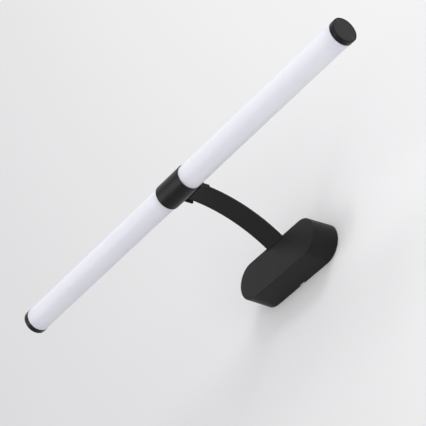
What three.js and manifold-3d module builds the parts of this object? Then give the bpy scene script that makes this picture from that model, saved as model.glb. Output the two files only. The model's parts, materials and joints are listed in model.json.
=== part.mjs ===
// Wall picture light: a black canopy box on the wall, a curved strap arm, and an opal
// LED tube held at its middle by a collar that tilts on a hinge at the arm's end.
//
// Millimetres. X runs along the tube, +Y points into the wall, +Z is up, and the
// origin is the middle of the canopy's back, on the wall.

import * as THREE from 'three';
import { mergeVertices } from 'three/addons/utils/BufferGeometryUtils.js';
import Module from 'manifold-3d';

const wasm = await Module();
wasm.setup();

// ---------------------------------------------------------------- driving dimensions

const GAP = 0.3;                 // clearance between pieces that touch or are cut by each other

const TUBE_R = 13;               // opal tube, outside
const TUBE_WALL = 1.3;
const HEAD_LENGTH = 540;         // over both end caps
const CAP_R = 13.3;
const CAP_FLANGE = 5.8;          // the part of a cap that shows
const AXIS_Y = -140;             // the tube's axis
const AXIS_Z = 51.4;

const COLLAR_R = 14;
const COLLAR_LENGTH = 38;

const BASE_LENGTH = 124;         // canopy box, a stadium seen from the front
const BASE_HEIGHT = 42;
const BASE_DEPTH = 29.5;
const BASE_WALL = 2;
const BASE_FRONT = 2.2;
const BASE_EDGE = 1;             // rounding of the front edge
const BASE_DRAFT = 0.6;          // each side leans in by this much towards the front

const ARM_WIDTH = 24.5;          // channel of folded sheet, closed by a strip
const ARM_THICK = 3.4;
const ARM_SHEET = 1;
const ARM_R = 166;               // radius of the arm's middle surface
const ARM_CY = -127.5;           // centre of that arc
const ARM_CZ = 52.9 - ARM_R;
const ARM_KNEE = 52;             // angle on the arc where the arm bends down inside the box
const BEND_R = 4;
const ARC_STEP = 2.6;            // degrees per facet along the arm
const FOOT_Z = -12;              // lower end of the arm's foot

const HINGE_Y = -122.6;          // tilt axis, parallel to X, on the arm's middle surface
const HINGE_Z = ARM_CZ + Math.sqrt(ARM_R ** 2 - (HINGE_Y - ARM_CY) ** 2);
const BARREL_R = 1.9;
const WASHER_R = 2;
const PIN_R = 1;
const PIN_BORE_R = 1.1;
const TONGUE_Y = -110;           // how far the knuckle's tongue reaches into the channel
const EAR_IN = 13.4;             // inner face of a yoke ear, from the middle
const EAR_OUT = 15.2;
const LOBE_R = 2.6;              // of the ear round the pin
const EAR_END = -113.2;          // the ears run on past the pin, beside the arm
const EAR_TOP = 53.1;
const EAR_BOTTOM = 49.5;
const SADDLE_R = 15.1;           // outside of the yoke's saddle on the collar
const SADDLE_FROM = -20;         // degrees round the tube, 0 towards the wall and 90 up
const SADDLE_TO = 52;
const SCREW_ANGLE = 34;          // the two yoke screws sit at this angle

const PLATE = 1.2;               // wall bracket sheet
const SLOT_X = 45;               // wall screw slots, from the middle
const SLOT_LENGTH = 11;
const SLOT_WIDTH = 5.2;
const ENTRY_X = 20;              // hole for the supply cable in the wall bracket
const ENTRY_R = 7;

const BOARD_Y = -9.6;            // the board's back face
const BOARD_T = 1.6;

const deg = THREE.MathUtils.degToRad;
const root = new THREE.Group();
const head = new THREE.Group();
head.position.set(0, AXIS_Y, AXIS_Z);      // the head's own frame is on the tube's axis
root.add(head);

// ---------------------------------------------------------------- solids from geometries

const X = new THREE.Vector3(1, 0, 0);
const Y = new THREE.Vector3(0, 1, 0);
const Z = new THREE.Vector3(0, 0, 1);
const SHAPE_ON_YZ = new THREE.Matrix4().makeBasis(Y, Z, X);                  // extrudes along +X
const SHAPE_ON_XZ = new THREE.Matrix4().makeBasis(X, Z, Y.clone().negate()); // extrudes along -Y
const AXIS_ON_X = new THREE.Matrix4().makeBasis(Y, X, Z.clone().negate());   // turns Y into X

function solid(geometry) {
  geometry.deleteAttribute('normal');
  geometry.deleteAttribute('uv');
  const merged = mergeVertices(geometry, 1e-4);
  const index = merged.index.array;
  const kept = [];
  for (let i = 0; i < index.length; i += 3) {
    const [a, b, c] = index.slice(i, i + 3);
    if (a !== b && b !== c && c !== a) kept.push(a, b, c);
  }
  return new wasm.Manifold(new wasm.Mesh({
    numProp: 3,
    vertProperties: Float32Array.from(merged.attributes.position.array),
    triVerts: Uint32Array.from(kept),
  }));
}

function join(...solids) {
  return solids.reduce((whole, piece) => whole.add(piece));
}

function cut(whole, ...cutters) {
  return cutters.reduce((rest, cutter) => rest.subtract(cutter), whole);
}

function box(x0, x1, y0, y1, z0, z1) {
  const geometry = new THREE.BoxGeometry(x1 - x0, y1 - y0, z1 - z0);
  return solid(geometry.translate((x0 + x1) / 2, (y0 + y1) / 2, (z0 + z1) / 2));
}

function rodX(r, x0, x1, y, z, sides = 24) {
  const geometry = new THREE.CylinderGeometry(r, r, x1 - x0, sides).applyMatrix4(AXIS_ON_X);
  return solid(geometry.translate((x0 + x1) / 2, y, z));
}

function rodY(r, y0, y1, x, z, sides = 24) {
  const geometry = new THREE.CylinderGeometry(r, r, y1 - y0, sides);
  return solid(geometry.translate(x, (y0 + y1) / 2, z));
}

function rodZ(r, z0, z1, x, y, sides = 20) {
  const geometry = new THREE.CylinderGeometry(r, r, z1 - z0, sides).rotateX(Math.PI / 2);
  return solid(geometry.translate(x, y, (z0 + z1) / 2));
}

function plateX(shape, x0, x1, curveSegments = 12) {
  const options = { depth: x1 - x0, bevelEnabled: false, curveSegments };
  const geometry = new THREE.ExtrudeGeometry(shape, options).applyMatrix4(SHAPE_ON_YZ);
  return solid(geometry.translate(x0, 0, 0));
}

function plateY(shape, yBack, yFront, curveSegments = 8) {
  const options = { depth: yBack - yFront, bevelEnabled: false, curveSegments };
  const geometry = new THREE.ExtrudeGeometry(shape, options).applyMatrix4(SHAPE_ON_XZ);
  return solid(geometry.translate(0, yBack, 0));
}

// A closed [radius, height] outline, run the way round that makes the turned faces point out.
function turned(outline, sides) {
  const points = outline.map(([r, height]) => new THREE.Vector2(r, height));
  if (THREE.ShapeUtils.area(points) < 0) points.reverse();
  points.push(points[0].clone());
  return new THREE.LatheGeometry(points, sides);
}

// A turned piece about the X axis, from [radius, x] corners.
function turnedX(outline, sides) {
  return solid(turned(outline, sides).applyMatrix4(AXIS_ON_X));
}

// A turned piece about a line parallel to Y, from [radius, y] corners.
function turnedY(outline, x, z, sides = 20) {
  return solid(turned(outline, sides).translate(x, 0, z));
}

function wire(points, r, steps) {
  const path = new THREE.CatmullRomCurve3(points.map((p) => new THREE.Vector3(...p)));
  const round = new THREE.Shape().absarc(0, 0, r, 0, 2 * Math.PI);
  return solid(new THREE.ExtrudeGeometry(round, { steps, extrudePath: path, curveSegments: 4 }));
}

function stadium(length, height, dx = 0, dz = 0) {
  const r = height / 2;
  const half = length / 2 - r;
  const shape = new THREE.Shape();
  shape.absarc(dx + half, dz, r, deg(-90), deg(90));
  shape.absarc(dx - half, dz, r, deg(90), deg(270));
  return shape.closePath();
}

function polygon(points) {
  return new THREE.Shape(points.map(([a, b]) => new THREE.Vector2(a, b)));
}

function place(name, body, group, look) {
  const mesh = body.getMesh();
  const geometry = new THREE.BufferGeometry();
  geometry.setAttribute('position', new THREE.BufferAttribute(mesh.vertProperties, 3));
  geometry.setIndex(new THREE.BufferAttribute(mesh.triVerts, 1));
  geometry.computeVertexNormals();
  const piece = new THREE.Mesh(geometry, new THREE.MeshStandardMaterial({ ...look }));
  piece.name = name;
  group.add(piece);
}

// ---------------------------------------------------------------- materials

const BLACK_PAINT = { color: 0x1b1b1d, roughness: 0.5, metalness: 0.1 };
const BLACK_PLASTIC = { color: 0x202022, roughness: 0.55, metalness: 0 };
const OPAL = { color: 0xf0eff6, roughness: 0.35, metalness: 0 };
const STEEL = { color: 0xb4b6ba, roughness: 0.35, metalness: 1 };
const BLACK_STEEL = { color: 0x2c2b2a, roughness: 0.42, metalness: 1 };
const ALUMINIUM = { color: 0xc9cbce, roughness: 0.4, metalness: 1 };
const BOARD_WHITE = { color: 0xeceae4, roughness: 0.5, metalness: 0 };
const BOARD_GREEN = { color: 0x2c6b45, roughness: 0.5, metalness: 0 };
const TRAY_WHITE = { color: 0xe6e6e4, roughness: 0.6, metalness: 0 };
const RUBBER = { color: 0x151515, roughness: 0.8, metalness: 0 };
const LEAD_WHITE = { color: 0xe9e7e0, roughness: 0.5, metalness: 0 };
const LEAD_BLACK = { color: 0x1d1d1e, roughness: 0.5, metalness: 0 };
const LEAD_BROWN = { color: 0x6b3f24, roughness: 0.5, metalness: 0 };
const LEAD_EARTH = { color: 0x7fa336, roughness: 0.5, metalness: 0 };
const COPPER = { color: 0xb87333, roughness: 0.4, metalness: 1 };

// ---------------------------------------------------------------- the arm's curved profile

// Angle on the arm's arc of the point at distance y from the wall.
function armAngle(y) {
  return THREE.MathUtils.radToDeg(Math.acos((y - ARM_CY) / ARM_R));
}

function arcPoints(cy, cz, r, from, to, steps) {
  return Array.from({ length: steps + 1 }, (_, i) => {
    const angle = deg(from + ((to - from) * i) / steps);
    return [cy + r * Math.cos(angle), cz + r * Math.sin(angle)];
  });
}

// The line at a fixed offset from the arm's middle surface, from an angle on the arc down
// to another angle, or round the knee and down the foot when bottom is a height.
function armLine(offset, topAngle, bottomAngle, footZ) {
  const steps = Math.max(2, Math.round((topAngle - bottomAngle) / ARC_STEP));
  const points = arcPoints(ARM_CY, ARM_CZ, ARM_R + offset, topAngle, bottomAngle, steps);
  if (footZ === undefined) return points;
  const kneeY = ARM_CY + (ARM_R - BEND_R) * Math.cos(deg(ARM_KNEE));
  const kneeZ = ARM_CZ + (ARM_R - BEND_R) * Math.sin(deg(ARM_KNEE));
  const bend = arcPoints(kneeY, kneeZ, BEND_R + offset, ARM_KNEE, 0, 6).slice(1);
  return [...points, ...bend, [kneeY + BEND_R + offset, footZ]];
}

function armBand(inner, outer, topAngle, bottomAngle, footZ) {
  const under = armLine(inner, topAngle, bottomAngle, footZ);
  const over = armLine(outer, topAngle, bottomAngle, footZ);
  return polygon([...under, ...over.reverse()]);
}

const ARM_HALF = ARM_THICK / 2;
const ARM_END = armAngle(HINGE_Y + BARREL_R + GAP + 0.2);   // the channel stops short of the barrel
const TONGUE_END = armAngle(TONGUE_Y);
const FOOT_FLOOR_Y = ARM_CY + (ARM_R - BEND_R) * Math.cos(deg(ARM_KNEE)) + BEND_R - ARM_HALF;
const FOOT_SCREWS = [[-6.5, 8.5], [6.5, 8.5], [0, -6.5]];   // x, z on the foot
const CHANNEL_HALF = ARM_WIDTH / 2 - ARM_SHEET;

// ---------------------------------------------------------------- canopy on the wall

const SLOT_TOP = armAngle(-40);                  // how far the arm's slot cutter reaches
const SLOT_GAP = 1.1;                            // between the arm and its slot
const SLOT_GAP_UNDER = 1.7;                      // the same, on the arm's underside
const CAVITY_FRONT = -(BASE_DEPTH - BASE_FRONT);
const INSIDE_TOP = BASE_HEIGHT / 2 - BASE_WALL;
const NOTCH_HALF = 4;                            // notch in the rim, to reach the latch from below
const NOTCH_DEPTH = 1.3;
const HOOK_XS = [-30, 30];
const HOOK_WIDTH = 8;
const TRAY_POSTS = [[18.1, 0], [47.2, 0]];       // x, z
const POST_R = 2.4;

function baseCover() {
  const outline = stadium(BASE_LENGTH - 2 * BASE_EDGE, BASE_HEIGHT - 2 * BASE_EDGE);
  const options = {
    depth: BASE_DEPTH,
    bevelThickness: BASE_EDGE,
    bevelSize: BASE_EDGE,
    bevelSegments: 2,
    curveSegments: 12,
  };
  const block = new THREE.ExtrudeGeometry(outline, options).applyMatrix4(SHAPE_ON_XZ);
  block.translate(0, BASE_EDGE, 0);
  const corner = block.attributes.position;
  for (let i = 0; i < corner.count; i += 1) {
    const lean = (BASE_DRAFT * Math.min(0, corner.getY(i))) / BASE_DEPTH;
    corner.setX(i, corner.getX(i) * (1 + lean / (BASE_LENGTH / 2)));
    corner.setZ(i, corner.getZ(i) * (1 + lean / (BASE_HEIGHT / 2)));
  }
  const inside = stadium(BASE_LENGTH - 2 * BASE_WALL, BASE_HEIGHT - 2 * BASE_WALL);
  const slot = armBand(-ARM_HALF - SLOT_GAP_UNDER, ARM_HALF + SLOT_GAP, SLOT_TOP, ARM_KNEE - 2);
  let cover = cut(
    solid(block),
    box(-BASE_LENGTH, BASE_LENGTH, 0, 5, -BASE_HEIGHT, BASE_HEIGHT),
    plateY(inside, 3, CAVITY_FRONT, 10),
    plateX(slot, -ARM_WIDTH / 2 - SLOT_GAP, ARM_WIDTH / 2 + SLOT_GAP),
    box(-NOTCH_HALF, NOTCH_HALF, -NOTCH_DEPTH, 1, -BASE_HEIGHT, -INSIDE_TOP + 1),
  );
  const floor = CAVITY_FRONT - 0.5;
  for (const [x, z] of FOOT_SCREWS) {
    cover = join(cover, rodY(POST_R, floor, FOOT_FLOOR_Y - GAP, x, z, 16));
    cover = cut(cover, rodY(1.1, CAVITY_FRONT, FOOT_FLOOR_Y, x, z, 12));
  }
  for (const [x, z] of TRAY_POSTS) {
    cover = join(cover, rodY(POST_R, floor, BOARD_Y - BOARD_T - GAP, x, z, 16));
    cover = cut(cover, rodY(1.1, CAVITY_FRONT + 4, BOARD_Y, x, z, 12));
  }
  for (const x of HOOK_XS) {
    const half = HOOK_WIDTH / 2 + 1;
    cover = join(cover, box(x - half, x + half, -7.2, -5, INSIDE_TOP - 1.2, INSIDE_TOP + 0.5));
  }
  return join(cover, box(-6, 6, -8.6, -6.4, -INSIDE_TOP - 0.5, -INSIDE_TOP + 1.4));
}

// Sheet steel plate with two hooks along its top and a springy latch at the bottom.
function wallBracket() {
  const inset = 2 * (BASE_WALL + 1.5);
  const outline = stadium(BASE_LENGTH - inset, BASE_HEIGHT - inset);
  let plate = plateY(outline, 0, -PLATE);
  for (const x of [-SLOT_X, SLOT_X]) {
    plate = cut(plate, plateY(stadium(SLOT_LENGTH, SLOT_WIDTH, x, 0), 1, -3, 4));
  }
  plate = cut(
    plate,
    rodY(ENTRY_R, -3, 1, ENTRY_X, 0, 28),
    rodY(1.3, -3, 1, ...EARTH_SPOT, 14),
    rodY(1.5, -3, 1, TERMINAL_MIDDLE, 0, 14),
  );
  const top = BASE_HEIGHT / 2 - inset / 2;
  for (const x of HOOK_XS) {
    const [a, b] = [x - HOOK_WIDTH / 2, x + HOOK_WIDTH / 2];
    plate = join(plate, box(a, b, -8.9, -PLATE / 2, top - PLATE, top));
    plate = join(plate, box(a, b, -8.9, -7.6, top - 0.5, top + 1));
  }
  const latch = -top + 0.4;
  return join(
    plate,
    box(-4, 4, -10.4, -PLATE / 2, latch, latch + PLATE),
    box(-4, 4, -10.4, -9, latch - 1.2, latch + 0.5),
  );
}

function entryGrommet() {
  const [lip, bore, edge] = [ENTRY_R + 1, 4.6, ENTRY_R - GAP];
  const [front, seat, back] = [-PLATE - GAP - 1, -PLATE - GAP, -0.2];
  const outline = [
    [bore, front], [lip, front], [lip, seat], [edge, seat], [edge, back], [bore, back],
  ];
  return turnedY(outline, ENTRY_X, 0, 24);
}

// Slotted pan head screw along Y. Its head rests at seatY, and its shank goes +Y when way is 1.
function panScrew([x, z], seatY, way, { headR, headT, shankR, length }) {
  const [top, tip, slot] = [seatY - way * headT, seatY + way * length, headR * 0.7];
  const rod = (r, a, b, sides) => rodY(r, Math.min(a, b), Math.max(a, b), x, z, sides);
  const groove = [top - way, top + way * headT * 0.5].sort((a, b) => a - b);
  return cut(
    join(rod(headR, top, seatY, 14), rod(shankR, seatY - way * 0.2, tip, 8)),
    box(x - slot, x + slot, ...groove, z - 0.3, z + 0.3),
  );
}

// ---------------------------------------------------------------- driver and wiring in the canopy

const TRAY = { x0: 13.4, x1: 52, front: -24.4, back: BOARD_Y + 0.6, z: 14.6 };

// The tray's outline, drawn inside its outer face by an inset.
function trayOutline(inset) {
  const [x0, x1, z, corner] = [TRAY.x0 + inset, TRAY.x1 - inset, TRAY.z - inset, 6 - 0.6 * inset];
  return polygon([
    [x0, -z], [x1 - corner, -z], [x1, -z + corner], [x1, z - corner], [x1 - corner, z], [x0, z],
  ]);
}

function driverTray() {
  const { x0, front, back } = TRAY;
  let tray = cut(plateY(trayOutline(0), back, front), plateY(trayOutline(1), back + 1, front + 1));
  for (const [x, z] of TRAY_POSTS) tray = cut(tray, rodY(POST_R + GAP, front - 1, front + 2, x, z, 16));
  return cut(
    tray,
    box(x0 - 1, x0 + 1.5, BOARD_Y - 6, back + 1, -13, -5.4),
    box(x0 - 1, x0 + 1.5, BOARD_Y - 6, back + 1, 7, 11),
  );
}

function driverBoard() {
  let board = plateY(trayOutline(1 + GAP), BOARD_Y, BOARD_Y - BOARD_T);
  for (const [x, z] of TRAY_POSTS) board = cut(board, rodY(1.5, BOARD_Y - 3, BOARD_Y + 1, x, z, 14));
  return board;
}

const PARTS_Y = BOARD_Y - BOARD_T - GAP;    // components stand forward from here

function transformer() {
  const [x, z] = [34, 2.5];
  return join(
    box(x - 7, x + 7, PARTS_Y - 10.6, PARTS_Y, z - 4, z + 4),
    box(x - 5, x + 5, PARTS_Y - 9.6, PARTS_Y - 1, z - 7, z + 7),
  );
}

function capacitorCan(x, z, r, height) {
  const top = PARTS_Y - height;
  return turnedY([[0, top], [r - 0.5, top], [r, top + 0.5], [r, PARTS_Y], [0, PARTS_Y]], x, z, 20);
}

function boardBlock(x, z, width, depth, height) {
  return box(x - width / 2, x + width / 2, PARTS_Y - height, PARTS_Y, z - depth / 2, z + depth / 2);
}

const TERMINAL = { x0: -36, x1: -14, back: -PLATE - GAP, front: -14.4, z: 8 };
const TERMINAL_MIDDLE = (TERMINAL.x0 + TERMINAL.x1) / 2;
const TERMINAL_SEAT_Y = TERMINAL.front + 3;

function poleX(pole) {
  return TERMINAL.x0 + ((TERMINAL.x1 - TERMINAL.x0) / 3) * (pole + 0.5);
}

function terminalBlock() {
  const { x0, x1, back, front, z } = TERMINAL;
  let block = box(x0, x1, front, back, -z, z);
  for (const x of [0, 1, 2].map(poleX)) {
    block = cut(block, rodZ(1.7, -z - 1, z + 1, x, front + 6.4, 14));
    block = cut(block, rodY(1.9, front - 1, front + 3.4, x, z - 3.8, 14));
    block = cut(block, rodY(1.9, front - 1, front + 3.4, x, 3.8 - z, 14));
  }
  for (const x of [poleX(0.5), poleX(1.5)]) {
    block = cut(block, box(x - 0.5, x + 0.5, front - 1, front + 2, -z - 1, z + 1));
  }
  const middle = (r, y) => rodY(r, front - 1, y, TERMINAL_MIDDLE, 0, 14);
  return cut(block, middle(1.6, back + 1), middle(2.6, TERMINAL_SEAT_Y));
}

function terminalScrew(x, z) {
  const { front } = TERMINAL;
  return cut(
    rodY(1.5, front + 0.8, front + 3, x, z, 12),
    box(x - 1.2, x + 1.2, front - 1, front + 1.4, z - 0.25, z + 0.25),
  );
}

const WIRE_R = 0.9;
const TERMINAL_HOLE_Y = TERMINAL.front + 6.4;

// From a pole of the terminal block, under the arm's foot and in front of the latch, to the driver.
function supplyWire(pole, drop, z) {
  const x = poleX(pole);
  return wire([
    [x, TERMINAL_HOLE_Y, -5.4], [x, TERMINAL_HOLE_Y, drop + 3.2], [x + 4.5, -10.2, drop + 0.5],
    [-7, -12.8, drop], [5, -12.8, drop], [11.4, -12.6, (drop + z) / 2], [14.4, -12.6, z], [17, -12.6, z],
  ], WIRE_R, 24);
}

function earthWire() {
  const x = poleX(0);
  return wire([
    [x, TERMINAL_HOLE_Y, 5.4], [x, TERMINAL_HOLE_Y, 11], [x + 5, -7.4, 13.6],
    [-17, -6.6, 14], [-11.4, -4.4, 14], [-7.6, -3.8, 13.4],
  ], WIRE_R, 22);
}

const EARTH_LUG_Y = -2.5;        // the lug's front face
const EARTH_SPOT = [-8, 9];      // x, z of the earth screw

function earthLug() {
  const [front, back] = [EARTH_LUG_Y, -PLATE - GAP];
  const [x, z] = EARTH_SPOT;
  return cut(
    join(rodY(2.9, front, back, x, z, 18), box(x - 1, x + 1, front, back, z + 2, z + 5.6)),
    rodY(1.4, -4, 0, x, z, 14),
  );
}

// ---------------------------------------------------------------- arm and hinge

function armChannel() {
  const sheet = armBand(-ARM_HALF, -ARM_HALF + ARM_SHEET, ARM_END, ARM_KNEE, FOOT_Z);
  const floor = plateX(sheet, -ARM_WIDTH / 2, ARM_WIDTH / 2);
  const side = armBand(-ARM_HALF, ARM_HALF, ARM_END, ARM_KNEE, FOOT_Z);
  const left = plateX(side, -ARM_WIDTH / 2, -CHANNEL_HALF);
  const right = plateX(side, CHANNEL_HALF, ARM_WIDTH / 2);
  const holes = FOOT_SCREWS.map(([x, z]) => rodY(1.6, FOOT_FLOOR_Y - 1, FOOT_FLOOR_Y + 2, x, z, 14));
  return cut(join(floor, left, right), ...holes);
}

function armStrip() {
  const band = armBand(ARM_HALF - ARM_SHEET, ARM_HALF, TONGUE_END - 0.2, ARM_KNEE + 0.6);
  return plateX(band, -CHANNEL_HALF + GAP, CHANNEL_HALF - GAP);
}

function armLead() {
  const top = armAngle(HINGE_Y + 2);
  const inside = plateX(armBand(-0.4, 0.4, top, ARM_KNEE, 13), -1.3, 1.3);
  const y = FOOT_FLOOR_Y + ARM_HALF + 0.6;
  const down = [[0, y, 13.8], [0.6, y + 2, 12], [5, y + 5, 10], [10, -13.4, 9], [17, -12.6, 9]];
  return join(inside, wire(down, 0.9, 14));
}

// Turned barrel in two halves with a tongue that lies in the channel's end.
function armKnuckle() {
  const band = armBand(-ARM_HALF + ARM_SHEET + GAP, ARM_HALF, armAngle(HINGE_Y), TONGUE_END);
  const tongue = plateX(band, -CHANNEL_HALF + GAP, CHANNEL_HALF - GAP);
  const barrel = rodX(BARREL_R, -ARM_WIDTH / 2, ARM_WIDTH / 2, HINGE_Y, HINGE_Z);
  return cut(
    join(tongue, barrel),
    rodX(PIN_BORE_R, -20, 20, HINGE_Y, HINGE_Z),
    box(-3.5, 3.5, HINGE_Y - 5, HINGE_Y + BARREL_R + 1, 40, 60),
    box(-1.8, 1.8, HINGE_Y, TONGUE_Y + 1, 40, HINGE_Z + 1),
  );
}

function hingeWasher(side) {
  const ends = [side * (ARM_WIDTH / 2 + GAP), side * (EAR_IN - GAP)];
  return cut(
    rodX(WASHER_R, Math.min(...ends), Math.max(...ends), HINGE_Y, HINGE_Z),
    rodX(PIN_BORE_R + 0.1, -20, 20, HINGE_Y, HINGE_Z),
  );
}

// ---------------------------------------------------------------- head: yoke, collar and tube

// Everything below is drawn about the tube's axis.
const HY = HINGE_Y - AXIS_Y;
const HZ = HINGE_Z - AXIS_Z;
const LEAD_Z = 0.6;
const LEAD_HOLE_R = 2.6;
const YOKE_SCREW_X = 9;
const YOKE_HOLE_R = 1.2;
const CARRIER_R = TUBE_R - TUBE_WALL - 0.5;
const CARRIER_WALL = 1.3;
const CARRIER_ANGLE = 60;
const CHORD_Y = CARRIER_R * Math.cos(deg(CARRIER_ANGLE));
const CARRIER_HALF = HEAD_LENGTH / 2 - 16;
const BOARD_FACE_Y = CHORD_Y - 1.5 - GAP;   // back of the LED boards
const LED_BOARD_T = 1;
const LED_PITCH = 18;
const LEDS_PER_BOARD = 14;

// The lead's hole and the two yoke screws' holes, through the wall side of the head.
function backHoles() {
  const [from, to] = [2, 20];
  const screwHoles = [-YOKE_SCREW_X, YOKE_SCREW_X].map((x) => {
    const hole = new THREE.CylinderGeometry(YOKE_HOLE_R, YOKE_HOLE_R, to - from, 14);
    return solid(hole.translate(x, (to + from) / 2, 0).rotateX(deg(SCREW_ANGLE)));
  });
  return [rodY(LEAD_HOLE_R, from, to, 0, LEAD_Z), ...screwHoles];
}

// Saddle round the collar with an ear at each end.
function yoke() {
  const saddle = new THREE.Shape();
  saddle.absarc(0, 0, SADDLE_R, deg(SADDLE_FROM), deg(SADDLE_TO));
  saddle.lineTo(0, 0).closePath();
  const lobe = new THREE.Shape().absarc(HY, HZ, LOBE_R, 0, 2 * Math.PI);
  const [top, bottom, end] = [EAR_TOP - AXIS_Z, EAR_BOTTOM - AXIS_Z, EAR_END - AXIS_Y];
  const plate = polygon([
    [5, bottom], [end - 0.5, bottom], [end, bottom + 0.5], [end, top - 0.8], [end - 0.8, top], [5, top],
  ]);
  const spans = [[EAR_IN, EAR_OUT], [-EAR_OUT, -EAR_IN]];
  const ears = spans.map(([a, b]) => join(plateX(lobe, a, b), plateX(plate, a, b)));
  return cut(
    join(plateX(saddle, -EAR_OUT, EAR_OUT, 16), ...ears),
    rodX(COLLAR_R + GAP, -30, 30, 0, 0, 64),
    rodX(PIN_BORE_R, -20, 20, HY, HZ),
    ...backHoles(),
  );
}

function collar() {
  const half = COLLAR_LENGTH / 2;
  const bore = TUBE_R + GAP;
  const ring = turnedX([
    [bore, -half], [COLLAR_R - 0.3, -half], [COLLAR_R, -half + 0.3], [COLLAR_R, half - 0.3],
    [COLLAR_R - 0.3, half], [bore, half],
  ], 48);
  return cut(ring, ...backHoles());
}

function diffuserTube() {
  const half = HEAD_LENGTH / 2 - CAP_FLANGE - GAP;
  const bore = TUBE_R - TUBE_WALL;
  const wall = turnedX([[bore, -half], [TUBE_R, -half], [TUBE_R, half], [bore, half]], 48);
  return cut(wall, ...backHoles());
}

// Flange that closes the tube's end, with a hollow plug inside the tube. side is 1 or -1.
function endCap(side) {
  const end = HEAD_LENGTH / 2;
  const inner = end - CAP_FLANGE;
  const plug = TUBE_R - TUBE_WALL - GAP;
  const outline = [
    [0, end], [CAP_R - 0.4, end], [CAP_R, end - 0.4], [CAP_R, inner], [plug, inner], [plug, inner - 8],
    [plug - 1.2, inner - 8], [plug - 1.2, end - 2], [0, end - 2],
  ];
  return turnedX(outline.map(([r, x]) => [r, side * x]), 48);
}

function dOutline(r, chordY) {
  const shape = new THREE.Shape();
  const angle = Math.acos(chordY / r);
  shape.absarc(0, 0, r, -angle, angle);
  return shape.closePath();
}

// Aluminium extrusion with a flat for the boards and a round back against the tube.
function ledCarrier() {
  const outline = dOutline(CARRIER_R, CHORD_Y - 1.5);
  outline.holes.push(new THREE.Path(dOutline(CARRIER_R - CARRIER_WALL, CHORD_Y).getPoints(8)));
  const bar = plateX(outline, -CARRIER_HALF, CARRIER_HALF, 8);
  return cut(bar, ...backHoles());
}

// Strip board with its row of LEDs soldered on.
function ledBoard(side) {
  const [near, far] = [1.8, CARRIER_HALF - 3];
  const [a, b] = side > 0 ? [near, far] : [-far, -near];
  const front = BOARD_FACE_Y - LED_BOARD_T;
  const leds = Array.from({ length: LEDS_PER_BOARD }, (_, n) => {
    const x = side * (LED_PITCH / 2 + n * LED_PITCH);
    return box(x - 1.75, x + 1.75, front - 0.7, front + 0.3, -1.4, 1.4);
  });
  const board = box(a, b, front, BOARD_FACE_Y, -6, 6);
  return cut(join(board, ...leds), rodY(LEAD_HOLE_R, 0, 10, 0, LEAD_Z));
}

function headLead() {
  return join(
    rodY(1.2, BOARD_FACE_Y - 2.4, SADDLE_R - 0.2, 0, LEAD_Z, 12),
    rodX(0.8, -5, 5, BOARD_FACE_Y - 2.2, LEAD_Z, 10),
  );
}

// ---------------------------------------------------------------- assembly

const SIDES = [['left', -1], ['right', 1]];
const SMALL_SCREW = { headR: 2.4, headT: 1.5, shankR: 0.9 };
const YOKE_SCREW = { headR: 1.9, headT: 1.1, shankR: 0.9, length: 7 };
const FIXING_SCREW = { headR: 2.2, headT: 1.4, shankR: 1.2, length: 11.4 };
const EARTH_SCREW = { headR: 2.3, headT: 1.3, shankR: 1, length: 2.6 };
const screwLine = new THREE.Group();       // its Y axis is the yoke screws' line
screwLine.rotation.x = deg(SCREW_ANGLE);
head.add(screwLine);

place('base_cover', baseCover(), root, BLACK_PAINT);
place('wall_bracket', wallBracket(), root, STEEL);
place('cable_entry_grommet', entryGrommet(), root, RUBBER);

place('driver_tray', driverTray(), root, TRAY_WHITE);
place('driver_board', driverBoard(), root, BOARD_GREEN);
place('transformer', transformer(), root, COPPER);
place('input_capacitor', capacitorCan(22, 7.5, 4, 11), root, BLACK_PLASTIC);
place('output_capacitor', capacitorCan(44.6, -7.5, 3.2, 10), root, BLACK_PLASTIC);
place('supply_capacitor', capacitorCan(44.8, 6, 2.6, 9), root, BLACK_PLASTIC);
place('film_capacitor', boardBlock(24, -3.6, 5, 3.4, 6), root, COPPER);
place('fuse_resistor', rodX(1.5, 18.4, 25.5, PARTS_Y - 1.5, -9.4, 12), root, TRAY_WHITE);
place('driver_chip', boardBlock(31.2, -9.4, 5.5, 4, 1.8), root, BLACK_PLASTIC);
place('bridge_rectifier', boardBlock(38.2, -9.4, 5.5, 3.6, 7), root, BLACK_PLASTIC);
TRAY_POSTS.forEach((spot, n) => {
  const screw = panScrew(spot, BOARD_Y + GAP, -1, { ...SMALL_SCREW, length: 7 });
  place(`driver_screw_${n + 1}`, screw, root, STEEL);
});

place('terminal_block', terminalBlock(), root, TRAY_WHITE);
const terminalFixing = panScrew([TERMINAL_MIDDLE, 0], TERMINAL_SEAT_Y - GAP, 1, FIXING_SCREW);
place('terminal_fixing_screw', terminalFixing, root, STEEL);
[0, 1, 2].forEach((pole) => {
  [1, -1].forEach((side, n) => {
    const screw = terminalScrew(poleX(pole), side * (TERMINAL.z - 3.8));
    place(`terminal_screw_${pole * 2 + n + 1}`, screw, root, STEEL);
  });
});
place('live_wire', supplyWire(1, -16.9, -10.4), root, LEAD_BROWN);
place('neutral_wire', supplyWire(2, -13.2, -7), root, LEAD_WHITE);
place('earth_wire', earthWire(), root, LEAD_EARTH);
place('earth_lug', earthLug(), root, STEEL);
place('earth_screw', panScrew(EARTH_SPOT, EARTH_LUG_Y - GAP, 1, EARTH_SCREW), root, STEEL);

place('arm_channel', armChannel(), root, BLACK_PAINT);
place('arm_strip', armStrip(), root, BLACK_PAINT);
place('arm_lead', armLead(), root, LEAD_BLACK);
place('arm_knuckle', armKnuckle(), root, BLACK_PAINT);
FOOT_SCREWS.forEach((spot, n) => {
  const screw = panScrew(spot, FOOT_FLOOR_Y + ARM_SHEET + GAP, -1, { ...SMALL_SCREW, length: 2.8 });
  place(`arm_foot_screw_${n + 1}`, screw, root, STEEL);
});

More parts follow.
